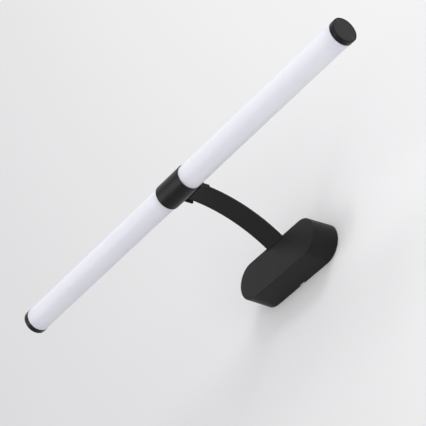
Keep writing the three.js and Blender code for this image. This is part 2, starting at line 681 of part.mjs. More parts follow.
place('hinge_pin', rodX(PIN_R, -EAR_OUT, EAR_OUT, HY, HZ), head, BLACK_STEEL);
place('hinge_yoke', yoke(), head, BLACK_PAINT);
place('collar', collar(), head, BLACK_PAINT);
place('diffuser_tube', diffuserTube(), head, OPAL);
place('led_carrier', ledCarrier(), head, ALUMINIUM);
place('head_lead', headLead(), head, LEAD_BLACK);
SIDES.forEach(([name, side]) => {
  place(`hinge_washer_${name}`, hingeWasher(side), root, BLACK_STEEL);
  const screw = panScrew([side * YOKE_SCREW_X, 0], SADDLE_R + 0.2, -1, YOKE_SCREW);
  place(`yoke_screw_${name}`, screw, screwLine, BLACK_STEEL);
  place(`led_board_${name}`, ledBoard(side), head, BOARD_WHITE);
  place(`end_cap_${name}`, endCap(side), head, BLACK_PLASTIC);
});

export default root;
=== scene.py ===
"""Looks of the wall picture light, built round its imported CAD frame.

Metres. X runs along the tube, +Y points into the wall, +Z is up, and the origin is the
middle of the canopy's back, on the wall. Every piece takes its place from the CAD nodes'
boxes, the hinge, or the named sizes below.
"""

import json
import math

import bmesh
import bpy
from mathutils import Matrix, Vector


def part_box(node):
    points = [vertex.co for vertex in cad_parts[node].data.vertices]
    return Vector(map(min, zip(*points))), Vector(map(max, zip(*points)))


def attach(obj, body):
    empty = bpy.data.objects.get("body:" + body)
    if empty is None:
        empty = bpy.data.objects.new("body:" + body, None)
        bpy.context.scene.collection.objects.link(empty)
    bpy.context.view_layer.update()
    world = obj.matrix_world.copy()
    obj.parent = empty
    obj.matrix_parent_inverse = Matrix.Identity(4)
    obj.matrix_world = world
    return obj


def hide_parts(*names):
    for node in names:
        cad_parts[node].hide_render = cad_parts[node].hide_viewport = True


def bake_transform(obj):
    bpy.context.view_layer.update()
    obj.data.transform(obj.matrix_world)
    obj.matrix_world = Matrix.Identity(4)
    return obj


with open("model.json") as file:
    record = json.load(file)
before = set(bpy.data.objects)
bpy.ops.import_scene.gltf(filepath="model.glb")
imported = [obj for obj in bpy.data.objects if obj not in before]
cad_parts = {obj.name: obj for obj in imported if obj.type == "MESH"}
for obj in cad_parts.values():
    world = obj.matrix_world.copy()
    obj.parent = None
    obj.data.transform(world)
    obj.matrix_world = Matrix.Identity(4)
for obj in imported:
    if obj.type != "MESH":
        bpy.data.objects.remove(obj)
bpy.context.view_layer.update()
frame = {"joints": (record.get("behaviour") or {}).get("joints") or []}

# ------------------------------------------------------------------ sizes

MM = 0.001
GAP = 0.3 * MM                        # clearance between neighbouring pieces
PAST = 20 * MM                        # a cutter reaches at least this far, past what it cuts
FAR_PAST = 30 * MM                    # the same, for the longer cuts
MERGE = 1e-7                          # vertices closer than this are one
COLLAPSED = 1e-8                      # edges shorter than this go
NORMAL_WEIGHT = 80                    # how much large faces count in a vertex's normal

CAMERA_AIM = (-0.0396, -0.070, 0.0677)
CAMERA_AZIMUTH = 51.85                # degrees, 0 looks along +Y
CAMERA_ELEVATION = -34.57             # degrees, from below
CAMERA_DISTANCE = 2.3503
CAMERA_ROLL = -6.64                   # degrees
CAMERA_LENS = 198.6                   # millimetres, on a sensor as wide as the next value
CAMERA_SENSOR = 36
CAMERA_NEAR = 0.05
CAMERA_FAR = 50

WALL_SIZE = 14.0                      # across the stage wall
WALL_SET_BACK = 0.5 * MM              # so that it isn't in the bracket's back face
WALL_LAP = 1.5 * MM                   # the wall goes in behind the canopy's edge by this much
WALL_HEIGHT_SHARE = 0.64              # of height against X in the wall's painted light
WALL_RISE = (-0.607, 0.165)           # metres, where the painted light starts and ends
# the wall's colour where the painted light is least and where it is most
WALL_PAINTED_SHADE = (0.626, 0.626, 0.631, 1)
WALL_PAINTED_LIGHT = (0.756, 0.756, 0.756, 1)

ROOM_BELOW = (0.74, 0.74, 0.755, 1)
ROOM_ABOVE = (0.90, 0.90, 0.91, 1)
ROOM_SEEN = (0.80, 0.80, 0.81, 1)

TUBE_WALL = 1.3 * MM
COLLAR_BORE = 13.3 * MM
CAP_FLANGE = 5.8 * MM                 # the part of a cap that shows
CAP_PLUG = 8 * MM                     # the part inside the tube
CAP_PLUG_WALL = 1.2 * MM
CAP_FACE = 2 * MM                     # thickness behind the face
CAP_SUNK = 0.1 * MM                   # the face inside the groove lies this much lower
CAP_GROOVE_IN = 0.65 * MM             # from the cap's edge to the groove's middle
CAP_GROOVE_HALF = 0.3 * MM
CAP_GROOVE_DEPTH = 0.9 * MM

BASE_WALL = 2.0 * MM
BASE_FRONT = 2.2 * MM
BASE_EDGE = 1.0 * MM                  # rounding of the canopy's front edge
BASE_DRAFT = 0.6 * MM                 # each side leans in by this much towards the front
BASE_CLOSE = 6 * MM                   # inset of the rings that the flat front closes
NOTCH_HALF = 4.0 * MM                 # notch in the rim, to reach the latch from below
NOTCH_DEPTH = 1.3 * MM
POST_R = 2.4 * MM
POST_BORE_R = 1.1 * MM
POST_FLOOR = 0.2 * MM                 # the bore stops this far behind the front's inside
ROOT = 0.5 * MM                       # posts, ribs and ledge go into the shell by this much
RIB_X = 30 * MM                       # two ribs under the top, for the bracket's hooks
RIB_HALF = 5 * MM
RIB_FRONT = -7.2 * MM
RIB_BACK = -5 * MM
RIB_HEIGHT = 1.2 * MM
LEDGE_HALF = 6 * MM                   # ledge over the bottom, for the latch
LEDGE_FRONT = -8.6 * MM
LEDGE_BACK = -6.4 * MM
LEDGE_HEIGHT = 1.4 * MM
SLOT_GAP = 1.1 * MM                   # between the arm and its slot in the canopy
SLOT_GAP_UNDER = 1.7 * MM             # the same, on the arm's underside
SLOT_FROM_Y = -40 * MM
SLOT_SHORT = 2                        # degrees on the arc from the slot's end to the arm's knee

ARM_HALF_WIDTH = 12.25 * MM
ARM_HALF_THICK = 1.7 * MM
ARM_SHEET = 1.0 * MM
ARM_RADIUS = 166.0 * MM               # of the arm's middle surface
ARM_CENTRE_Y = -127.5 * MM
ARM_KNEE = 52.0                       # degrees on the arc where the arm bends down in the canopy
ARM_HOLE_R = 1.6 * MM
BEND_RADIUS = 4.0 * MM
TONGUE_Y = -110.0 * MM                # where the knuckle's tongue ends and the strip starts
STRIP_START = 0.2                     # degrees on the arc between the tongue and the strip
STRIP_SHORT = 0.6                     # degrees on the arc from the knee to the strip's end

BARREL_R = 1.9 * MM
PIN_BORE_R = 1.1 * MM
WASHER_PLAY = 0.1 * MM                # the washer's bore over the pin's
LEAD_SLOT_HALF = 3.5 * MM             # in the knuckle's barrel, for the lead
LEAD_GROOVE_HALF = 1.8 * MM           # in the knuckle's tongue, for the lead
EAR_IN = 13.4 * MM
LOBE_R = 2.6 * MM                     # of the ear round the pin
EAR_END = -113.2 * MM                 # the ears run on past the pin, beside the arm
EAR_TOP = 53.1 * MM
EAR_BOTTOM = 49.5 * MM
SADDLE_R = 15.1 * MM                  # outside of the yoke's saddle on the collar
SADDLE_FROM = -20                     # degrees round the tube, 0 towards the wall and 90 up
SADDLE_TO = 52
SADDLE_STEP = 2
SCREW_ANGLE = 34                      # the two yoke screws sit at this angle
SCREW_HOLE_R = 1.2 * MM
HEAD_HOLES_FROM = 5 * MM              # holes in the head's back start this far from its axis

WIRE_R = 0.9 * MM
LEAD_RISE = 0.6 * MM                  # of the lead's hole over the tube's axis
LEAD_HOLE_R = 2.6 * MM
TERMINAL_LEFT = -36.0 * MM            # the terminal block's left end
POLE_PITCH = 22 / 3 * MM
TERMINAL_HOLE_Y = -8.0 * MM


def middle(node):
    """The middle of a CAD node's box."""
    low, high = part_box(node)
    return (low + high) / 2


base_low, base_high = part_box("base_cover")
BASE_R = (base_high.z - base_low.z) / 2
BASE_STRAIGHT = (base_high.x - base_low.x) / 2 - BASE_R
BASE_DEPTH = -base_low.y
CAVITY_Y = -(BASE_DEPTH - BASE_FRONT)

AXIS = middle("diffuser_tube")
TUBE_R = (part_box("diffuser_tube")[1].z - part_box("diffuser_tube")[0].z) / 2
TUBE_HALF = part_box("diffuser_tube")[1].x
COLLAR_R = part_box("collar")[1].z - AXIS.z
COLLAR_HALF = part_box("collar")[1].x
CAP_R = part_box("end_cap_right")[1].z - AXIS.z
HEAD_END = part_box("end_cap_right")[1].x
EAR_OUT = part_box("hinge_yoke")[1].x

HINGE = Vector(frame["joints"][0]["pos_m"])
ARM_CENTRE_Z = HINGE.z - math.sqrt(ARM_RADIUS ** 2 - (HINGE.y - ARM_CENTRE_Y) ** 2)
ON_SCREW_LINE = (
    Matrix.Translation((0, AXIS.y, AXIS.z)) @ Matrix.Rotation(math.radians(SCREW_ANGLE), 4, "X")
)


# ------------------------------------------------------------------ mesh building

def piece_from(name, verts, faces):
    """A new mesh object with its doubles merged and its faces turned out."""
    mesh = bpy.data.meshes.new(name)
    mesh.from_pydata([tuple(v) for v in verts], [], faces)
    shape = bmesh.new()
    shape.from_mesh(mesh)
    bmesh.ops.remove_doubles(shape, verts=shape.verts, dist=MERGE)
    bmesh.ops.dissolve_degenerate(shape, edges=shape.edges, dist=COLLAPSED)
    bmesh.ops.recalc_face_normals(shape, faces=shape.faces)
    shape.to_mesh(mesh)
    shape.free()
    made = bpy.data.objects.new(name, mesh)
    bpy.context.scene.collection.objects.link(made)
    return made


def rounded(corners, steps=5):
    """A closed outline from (a, b, radius) corners, with an arc of that radius at each."""
    points = []
    for i, (a, b, r) in enumerate(corners):
        here = Vector((a, b))
        if r == 0:
            points.append(here)
            continue
        before = (Vector(corners[i - 1][:2]) - here).normalized()
        after = (Vector(corners[(i + 1) % len(corners)][:2]) - here).normalized()
        half = before.angle(after) / 2
        centre = here + (before + after).normalized() * (r / math.sin(half))
        start = here + before * (r / math.tan(half)) - centre
        end = here + after * (r / math.tan(half)) - centre
        turn = math.atan2(start.x * end.y - start.y * end.x, start.dot(end))
        for s in range(steps + 1):
            points.append(centre + Matrix.Rotation(turn * s / steps, 2) @ start)
    return points


def loft(name, rings, closed_rings=False):
    """Skin over rings of equally many points, closed at both ends or joined end to end."""
    count = len(rings[0])
    faces = []
    for k in range(len(rings) if closed_rings else len(rings) - 1):
        a, b = k * count, ((k + 1) % len(rings)) * count
        faces += [(a + i, a + (i + 1) % count, b + (i + 1) % count, b + i) for i in range(count)]
    if not closed_rings:
        last = (len(rings) - 1) * count
        faces += [tuple(range(count)), tuple(range(last, last + count))]
    return piece_from(name, [point for ring in rings for point in ring], faces)


def turned_x(name, outline, y, z, steps=96):
    """An outline of (radius, x) points turned about a line along X."""
    rings = []
    for s in range(steps):
        angle = 2 * math.pi * s / steps
        c, d = math.cos(angle), math.sin(angle)
        rings.append([(x, y + r * c, z + r * d) for r, x in outline])
    return loft(name, rings, closed_rings=True)


def turned_y(name, outline, x, z, steps=32):
    """An outline of (radius, y) points turned about a line along Y."""
    rings = []
    for s in range(steps):
        angle = 2 * math.pi * s / steps
        c, d = math.cos(angle), math.sin(angle)
        rings.append([(x + r * c, y, z + r * d) for r, y in outline])
    return loft(name, rings, closed_rings=True)


def rod_x(name, r, x0, x1, y, z, steps=48):
    """A plain rod along X."""
    return turned_x(name, [(0, x0), (r, x0), (r, x1), (0, x1)], y, z, steps)


def rod_y(name, r, y0, y1, x, z, steps=32):
    """A plain rod along Y."""
    return turned_y(name, [(0, y0), (r, y0), (r, y1), (0, y1)], x, z, steps)


def block(name, low, high):
    """A box between two corners."""
    x, y, z = zip(low, high)
    ring = [(0, 0), (1, 0), (1, 1), (0, 1)]
    return loft(name, [[(x[i], y[k], z[j]) for i, j in ring] for k in (0, 1)])


def prism_x(name, outline, x0, x1):
    """A (y, z) outline pulled along X."""
    return loft(name, [[(x, y, z) for y, z in outline] for x in (x0, x1)])


def stadium_ring(inset, y, steps=24):
    """The canopy's outline, drawn in by an inset."""
    ring = []
    for side in (1, -1):
        for s in range(steps + 1):
            angle = math.radians(-90 * side + 180 * s / steps)
            r = BASE_R - inset
            ring.append((side * BASE_STRAIGHT + r * math.cos(angle), y, r * math.sin(angle)))
    return ring


def modified(piece, kind, **settings):
    """The piece with one modifier applied."""
    modifier = piece.modifiers.new(kind.title(), kind)
    for key, value in settings.items():
        setattr(modifier, key, value)
    graph = bpy.context.evaluated_depsgraph_get()
    graph.update()
    mesh = bpy.data.meshes.new_from_object(piece.evaluated_get(graph))
    piece.modifiers.clear()
    old = piece.data
    piece.data = mesh
    bpy.data.meshes.remove(old)
    mesh.name = piece.name
    return piece


def combined(piece, operation, others):
    """The piece after a boolean with each of the others, which are used up."""
    for other in others:
        modified(piece, "BOOLEAN", operation=operation, object=other, solver="EXACT")
        bpy.data.objects.remove(other)
    return piece


def cut(piece, *cutters):
    return combined(piece, "DIFFERENCE", cutters)


def fuse(piece, *others):
    return combined(piece, "UNION", others)


def softened(piece, width, segments=3, angle=35):
    """Rounds every edge sharper than the angle."""
    return modified(
        piece, "BEVEL", width=width, segments=segments, limit_method="ANGLE",
        angle_limit=math.radians(angle), use_clamp_overlap=True, harden_normals=False,
    )


def dressed(piece, body, material, nodes=(), crease=32):
    """Smooth shading, flat faces kept flat, then the piece's body, slot and CAD nodes."""
    piece.data.materials.clear()
    piece.data.materials.append(material)
    for face in piece.data.polygons:
        face.use_smooth = True
    piece.data.set_sharp_from_angle(angle=math.radians(crease))
    weighted = piece.modifiers.new("Normals", "WEIGHTED_NORMAL")
    weighted.keep_sharp = True
    weighted.weight = NORMAL_WEIGHT
    if body:
        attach(piece, body)
    if nodes:
        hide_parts(*nodes)
    return piece


# ------------------------------------------------------------------ the arm's curve

def arc_angle(y):
    """Degrees on the arm's arc of the point at y."""
    return math.degrees(math.acos((y - ARM_CENTRE_Y) / ARM_RADIUS))


def arc_stations(cy, cz, radius, start, end, steps):
    """(point, outward normal) pairs in the YZ plane, along an arc."""
    stations = []
    for s in range(steps + 1):
        angle = math.radians(start + (end - start) * s / steps)
        normal = Vector((math.cos(angle), math.sin(angle)))
        stations.append((Vector((cy, cz)) + normal * radius, normal))
    return stations


def arm_stations(start, end, step=1.0):
    """Stations on the arm's middle surface, from one angle to another, in degrees."""
    steps = max(2, round(abs(end - start) / step))
    return arc_stations(ARM_CENTRE_Y, ARM_CENTRE_Z, ARM_RADIUS, start, end, steps)


def foot_stations(bottom):
    """Round the knee and straight down to a height."""
    knee = math.radians(ARM_KNEE)
    cy = ARM_CENTRE_Y + (ARM_RADIUS - BEND_RADIUS) * math.cos(knee)
    cz = ARM_CENTRE_Z + (ARM_RADIUS - BEND_RADIUS) * math.sin(knee)
    bend = arc_stations(cy, cz, BEND_RADIUS, ARM_KNEE, 0, 10)[1:]
    return bend + [(Vector((cy + BEND_RADIUS, bottom)), Vector((1, 0)))]


def swept(name, section, stations):
    """A closed (x, offset) section carried along the stations."""
    rings = [
        [(x, point.x + normal.x * offset, point.y + normal.y * offset) for x, offset in section]
        for point, normal in stations
    ]
    return loft(name, rings)


def flat_section(half_width, under, over, r):
    """A flat bar's section, its corners rounded, around the arm's middle surface."""
    return rounded([
        (-half_width, under, r), (half_width, under, r), (half_width, over, r), (-half_width, over, r),
    ], 3)


# ------------------------------------------------------------------ materials

PATCH_RANGE = (0.3, 0.7)              # of the patch noise, from dim to bright
GRAIN_RANGE = (0.35, 0.6)             # of the fine noise, from little edge wear and painted sheen to much
WEAR_AND_SHEEN_RANGE = (0.35, 0.9)              # of the edge colour's share, partly wear and partly painted sheen
EDGE_RANGE = (0.53, 0.60)             # of pointiness, from flat to a sharp edge
FINE_SHARE = 0.5                      # of the fine grain in the relief

OPAL = (0.775, 0.775, 0.84)
# painted shade: the tube's colour near the caps and the collar
OPAL_SHADED = (0.56, 0.56, 0.66, 1)
SHADE_BY_CAP = 22 * MM                # how far the painted shade reaches from a cap
SHADE_BY_COLLAR = 14 * MM             # and from the collar
SHADE_FALL = 1.8
SHADE_SHARE = 0.55

LED_RAISED = (0.5 * MM, 0.3 * MM)     # behind the LEDs' faces, from board to LED
LED_HALF = (1.15 * MM, 1.0 * MM)      # off the row's middle, from board to phosphor
PHOSPHOR = (0.83, 0.62, 0.12, 1)

BLACK = (0.0088, 0.0087, 0.0092)


def add(tree, kind, **inputs):
    """A new node. Inputs are set to a value, or linked if they are given a socket."""
    made = tree.nodes.new(kind)
    for key, value in inputs.items():
        socket = made.inputs[key.replace("_", " ")]
        if isinstance(value, bpy.types.NodeSocket):
            tree.links.new(value, socket)
        else:
            socket.default_value = value
    return made


def maths(tree, operation, *values):
    """The result of a Math node. Each value is a number or a socket."""
    made = tree.nodes.new("ShaderNodeMath")
    made.operation = operation
    for socket, value in zip(made.inputs, values):
        if isinstance(value, bpy.types.NodeSocket):
            tree.links.new(value, socket)
        else:
            socket.default_value = value
    return made.outputs[0]


def noise(tree, place, scale, detail=2.0, stretch=None):
    """Noise in the object's own space. The scale is in features per metre."""
    if stretch:
        place = add(tree, "ShaderNodeMapping", Vector=place, Scale=stretch).outputs[0]
    return add(tree, "ShaderNodeTexNoise", Vector=place, Scale=scale, Detail=detail).outputs[0]


def ramp(tree, value, low, high, out_low, out_high):
    """The value's range from low to high, turned into another and clamped."""
    return add(
        tree, "ShaderNodeMapRange", Value=value, From_Min=low, From_Max=high, To_Min=out_low, To_Max=out_high,
    ).outputs[0]


def mixed(tree, factor, first, second):
    """A colour between two, by the factor."""
    made = tree.nodes.new("ShaderNodeMix")
    made.data_type = "RGBA"
    for socket, value in ((made.inputs[0], factor), (made.inputs[6], first), (made.inputs[7], second)):
        if isinstance(value, bpy.types.NodeSocket):
            tree.links.new(value, socket)
        else:
            socket.default_value = value
    return made.outputs[2]


def shade(colour, factor):
    """The colour made brighter or darker, with alpha."""
    return tuple(min(1.0, c * factor) for c in colour) + (1.0,)


def surface(name, colour, roughness, *, metallic=0.0, specular=0.5, spread=0.12, patch=45, grain=5500,
            peel=700, relief=0.03, uneven=0.05, edge=None, stretch=None, **uniform):
    """A Principled material. Broad patches vary its colour by spread and its gloss by uneven, fine
    grain and broader peel raise it by relief millimetres, and sharp convex edges take the edge colour,
    partly as wear and partly as a painted sheen. Patch, grain and peel are features per metre."""
    material = bpy.data.materials.new(name)
    material.use_nodes = True
    tree = material.node_tree
    shader = tree.nodes["Principled BSDF"]
    place = add(tree, "ShaderNodeTexCoord").outputs["Object"]
    patches = noise(tree, place, patch, 4, stretch)
    fine = noise(tree, place, grain, 2, stretch)
    broad = noise(tree, place, peel, 1, stretch)
    dim, bright = shade(colour, 1 - spread), shade(colour, 1 + spread)
    tone = mixed(tree, ramp(tree, patches, *PATCH_RANGE, 0, 1), dim, bright)
    gloss = ramp(tree, patches, *PATCH_RANGE, roughness - uneven, roughness + uneven)
    if edge:
        # sharp edges are lightened: partly wear, partly a painted sheen
        corner = add(tree, "ShaderNodeNewGeometry").outputs["Pointiness"]
        wear_and_sheen = ramp(tree, corner, *EDGE_RANGE, 0, 1)
        wear_and_sheen = maths(tree, "MULTIPLY", wear_and_sheen, ramp(tree, fine, *GRAIN_RANGE, *WEAR_AND_SHEEN_RANGE))
        tone = mixed(tree, wear_and_sheen, tone, shade(edge, 1))
    height = maths(tree, "MULTIPLY_ADD", fine, FINE_SHARE, broad)
    bump = add(tree, "ShaderNodeBump", Strength=1.0, Distance=relief * MM, Height=height).outputs[0]
    tree.links.new(tone, shader.inputs["Base Color"])
    tree.links.new(gloss, shader.inputs["Roughness"])
    tree.links.new(bump, shader.inputs["Normal"])
    shader.inputs["Metallic"].default_value = metallic
    shader.inputs["Specular IOR Level"].default_value = specular
    for key, value in uniform.items():
        shader.inputs[key.replace("_", " ")].default_value = value
    return material


def opal_plastic():
    """Milky acrylic. Its colour carries painted shade near the ends and beside the collar, for the shadow
    that the black plugs and the collar cast through its wall.
    """
    material = surface(
        "opal_plastic", OPAL, 0.42, specular=0.3, spread=0.012, patch=30, grain=2500, peel=350,
        relief=0.004, uneven=0.03, Subsurface_Weight=0.30, Subsurface_Radius=(1.0, 0.95, 1.0),
        Subsurface_Scale=4 * MM, Coat_Weight=0.06, Coat_Roughness=0.2,
    )
    tree = material.node_tree
    shader = tree.nodes["Principled BSDF"]
    tone = shader.inputs["Base Color"].links[0].from_socket
    place = add(tree, "ShaderNodeTexCoord").outputs["Object"]
    along = maths(tree, "ABSOLUTE", add(tree, "ShaderNodeSeparateXYZ", Vector=place).outputs["X"])
    outer = HEAD_END - CAP_FLANGE
    near_cap = ramp(tree, along, outer - SHADE_BY_CAP, outer, 0, 1)
    near_collar = ramp(tree, along, COLLAR_HALF + SHADE_BY_COLLAR, COLLAR_HALF, 0, 1)
    # painted shade near the caps and the collar, where the black parts shadow the tube
    dark = maths(tree, "POWER", maths(tree, "MAXIMUM", near_cap, near_collar), SHADE_FALL)
    painted_shade = mixed(tree, maths(tree, "MULTIPLY", dark, SHADE_SHARE), tone, OPAL_SHADED)
    tree.links.new(painted_shade, shader.inputs["Base Color"])
    return material


def led_board():
    """White solder mask, with yellow phosphor on the row of LEDs along the middle."""
    material = surface("board_white", (0.78, 0.77, 0.74), 0.45, spread=0.04, peel=1500, relief=0.01)
    tree = material.node_tree
    shader = tree.nodes["Principled BSDF"]
    tone = shader.inputs["Base Color"].links[0].from_socket
    place = add(tree, "ShaderNodeTexCoord").outputs["Object"]
    part = add(tree, "ShaderNodeSeparateXYZ", Vector=place)
    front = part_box("led_board_right")[0].y
    raised = ramp(tree, part.outputs["Y"], *[front + deep for deep in LED_RAISED], 0, 1)
    off_line = maths(tree, "ABSOLUTE", maths(tree, "SUBTRACT", part.outputs["Z"], AXIS.z))
    in_line = ramp(tree, off_line, *LED_HALF, 0, 1)
    phosphor = mixed(tree, maths(tree, "MULTIPLY", raised, in_line), tone, PHOSPHOR)
    tree.links.new(phosphor, shader.inputs["Base Color"])
    return material


LOOKS = {
    "powder_coat": surface("powder_coat", BLACK, 0.44, specular=0.18, edge=(0.030, 0.030, 0.031)),
    "black_satin": surface("black_satin", (0.0055, 0.0055, 0.0058), 0.34, specular=0.17, peel=1400,
                           relief=0.012, edge=(0.028, 0.028, 0.030)),
    "black_plastic": surface("black_plastic", (0.0155, 0.0155, 0.0160), 0.48, specular=0.24, grain=3800,
                             peel=1900, relief=0.03, edge=(0.034, 0.034, 0.036)),
    "black_oxide": surface("black_oxide", (0.035, 0.034, 0.033), 0.42, metallic=0.7, spread=0.25,
                           edge=(0.20, 0.19, 0.18)),
    "opal": opal_plastic(),
    "zinc_steel": surface("zinc_steel", (0.56, 0.57, 0.59), 0.34, metallic=1, spread=0.10, patch=160,
                          peel=300, relief=0.01, edge=(0.75, 0.75, 0.76), stretch=(1, 6, 6)),
    "aluminium": surface("aluminium", (0.72, 0.73, 0.74), 0.33, metallic=1, spread=0.06, patch=60,
                         relief=0.012, stretch=(0.05, 1, 1), edge=(0.85, 0.85, 0.86)),
    "led_board": led_board(),
    "driver_board": surface("board_green", (0.018, 0.13, 0.055), 0.38, spread=0.25, patch=600, peel=1500,
                            relief=0.02, edge=(0.42, 0.40, 0.22)),
    "white_plastic": surface("white_plastic", (0.74, 0.74, 0.72), 0.45, spread=0.05, peel=1600,
                             relief=0.02, edge=(0.85, 0.85, 0.83)),
    "rubber": surface("rubber", (0.012, 0.012, 0.012), 0.72, specular=0.3, spread=0.2, grain=3000,
                      relief=0.05, edge=(0.035, 0.035, 0.035)),
    "winding": surface("winding_tape", (0.62, 0.40, 0.07), 0.35, spread=0.15, patch=300, grain=2600,
                       relief=0.03, stretch=(1, 8, 1), edge=(0.75, 0.55, 0.2)),
    "component": surface("component_black", (0.02, 0.02, 0.023), 0.4, spread=0.2, peel=2200,
                         relief=0.02, edge=(0.12, 0.12, 0.12)),
    "wire_black": surface("wire_black", (0.014, 0.014, 0.015), 0.42, specular=0.3, spread=0.1, relief=0.02),
    "wire_white": surface("wire_white", (0.76, 0.75, 0.71), 0.42, spread=0.05, relief=0.02),
    "wire_brown": surface("wire_brown", (0.16, 0.062, 0.028), 0.42, spread=0.08, relief=0.02),
    "wire_earth": surface("wire_earth", (0.20, 0.36, 0.05), 0.42, spread=0.30, patch=260, relief=0.02),
}


# ------------------------------------------------------------------ camera, wall and light

def towards(azimuth, elevation):
    """Unit vector from the object to a place at that azimuth and elevation, in degrees."""
    a, e = math.radians(azimuth), math.radians(elevation)
    return Vector((math.sin(a) * math.cos(e), -math.cos(a) * math.cos(e), math.sin(e)))


def make_camera():
    """A long lens from below and to the right, rolled a little."""
    data = bpy.data.cameras.new("camera")
    data.lens = CAMERA_LENS
    data.sensor_width = CAMERA_SENSOR
    data.clip_start = CAMERA_NEAR
    data.clip_end = CAMERA_FAR
    camera = bpy.data.objects.new("camera", data)
    back = towards(CAMERA_AZIMUTH, CAMERA_ELEVATION)
    camera.location = Vector(CAMERA_AIM) + back * CAMERA_DISTANCE
    turn = (-back).to_track_quat("-Z", "Y").to_matrix()
    roll = Matrix.Rotation(math.radians(CAMERA_ROLL), 3, "Z")
    camera.rotation_euler = (turn @ roll).to_euler()
    bpy.context.scene.collection.objects.link(camera)
    bpy.context.scene.camera = camera


def wall_paint():
    """Pale paint, with painted light that makes it a little brighter up and to the right. It can be seen
    through from behind.
    """
    material = bpy.data.materials.new("wall_paint")
    material.use_nodes = True
    tree = material.node_tree
    shader = tree.nodes["Principled BSDF"]
    shader.inputs["Roughness"].default_value = 0.9
    shader.inputs["Specular IOR Level"].default_value = 0.1
    place = add(tree, "ShaderNodeTexCoord").outputs["Object"]
    part = add(tree, "ShaderNodeSeparateXYZ", Vector=place)
    # painted light: the wall's colour brightens up and to the right
    rise = maths(tree, "MULTIPLY_ADD", part.outputs["Z"], WALL_HEIGHT_SHARE, part.outputs["X"])
    tone = mixed(tree, ramp(tree, rise, *WALL_RISE, 0, 1), WALL_PAINTED_SHADE, WALL_PAINTED_LIGHT)
    rough = noise(tree, place, 900)
    bump = add(tree, "ShaderNodeBump", Strength=0.3, Distance=0.05 * MM, Height=rough).outputs[0]
    tree.links.new(tone, shader.inputs["Base Color"])
    tree.links.new(bump, shader.inputs["Normal"])
    behind = add(tree, "ShaderNodeNewGeometry").outputs["Backfacing"]
    clear = tree.nodes.new("ShaderNodeBsdfTransparent")
    both = tree.nodes.new("ShaderNodeMixShader")
    tree.links.new(behind, both.inputs[0])
    tree.links.new(shader.outputs[0], both.inputs[1])
    tree.links.new(clear.outputs[0], both.inputs[2])
    tree.links.new(both.outputs[0], tree.nodes["Material Output"].inputs["Surface"])
    return material


def make_wall():
    """A wide wall with a hole behind the canopy, so that the bracket is lit in views from behind."""
    inner = stadium_ring(WALL_LAP, WALL_SET_BACK)
    outer = []
    for x, y, z in inner:
        out = Vector((x, 0, z)).normalized() * WALL_SIZE / 2
        outer.append((out.x, y, out.z))
    count = len(inner)
    faces = [(i, count + i, count + (i + 1) % count, (i + 1) % count) for i in range(count)]
    mesh = bpy.data.meshes.new("wall")
    mesh.from_pydata(inner + outer, [], faces)
    if mesh.polygons[0].normal.y > 0:
        mesh.flip_normals()
    mesh.materials.append(wall_paint())
    wall = bpy.data.objects.new("wall", mesh)
    bpy.context.scene.collection.objects.link(wall)


def softbox(name, *, azimuth, elevation, distance, width, height, radiance):
    """A lamp panel that faces the object, and that the camera doesn't see."""
    data = bpy.data.lights.new(name, "AREA")
    data.shape = "RECTANGLE"
    data.size, data.size_y = width, height
    data.energy = radiance * math.pi * width * height
    light = bpy.data.objects.new(name, data)
    light.visible_camera = False
    out = towards(azimuth, elevation)
    light.location = Vector(CAMERA_AIM) + out * distance
    light.rotation_euler = (-out).to_track_quat("-Z", "Y").to_euler()
    bpy.context.scene.collection.objects.link(light)


def make_world():
    """A pale room, brighter overhead than underfoot. The camera sees it as plain and pale."""
    world = bpy.data.worlds.new("room")
    bpy.context.scene.world = world
    world.use_nodes = True
    tree = world.node_tree
    place = add(tree, "ShaderNodeTexCoord").outputs["Generated"]
    up = add(tree, "ShaderNodeSeparateXYZ", Vector=place).outputs["Z"]
    room = mixed(tree, ramp(tree, up, -0.5, 0.5, 0, 1), ROOM_BELOW, ROOM_ABOVE)
    seen = add(tree, "ShaderNodeLightPath").outputs["Is Camera Ray"]
    tone = mixed(tree, seen, room, ROOM_SEEN)
    tree.links.new(tone, tree.nodes["Background"].inputs["Color"])


def make_studio():
    """Everything in the picture but the object."""
    make_camera()
    make_wall()
    make_world()
    softbox("left_panel", azimuth=-45, elevation=-12, distance=3.2, width=0.96, height=2.24, radiance=2.8)
    softbox("top_panel", azimuth=42, elevation=36, distance=2.2, width=0.7, height=0.7, radiance=9.0)
    softbox("right_fill", azimuth=70, elevation=-20, distance=0.9, width=0.3, height=0.3, radiance=3.4)
    bpy.context.scene.view_settings.view_transform = "Standard"


# ------------------------------------------------------------------ canopy

def fixing_posts():
    """(x, z, y of the seat) of each screw post behind the canopy's front."""
    foot_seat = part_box("arm_channel")[1].y - 2 * ARM_HALF_THICK - GAP
    driver_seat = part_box("driver_board")[0].y - GAP
    posts = []
    for kind, count, seat in (("arm_foot_screw", 3, foot_seat), ("driver_screw", 2, driver_seat)):
        for n in range(1, count + 1):
            spot = middle(f"{kind}_{n}")
            posts.append((spot.x, spot.z, seat))
    return posts


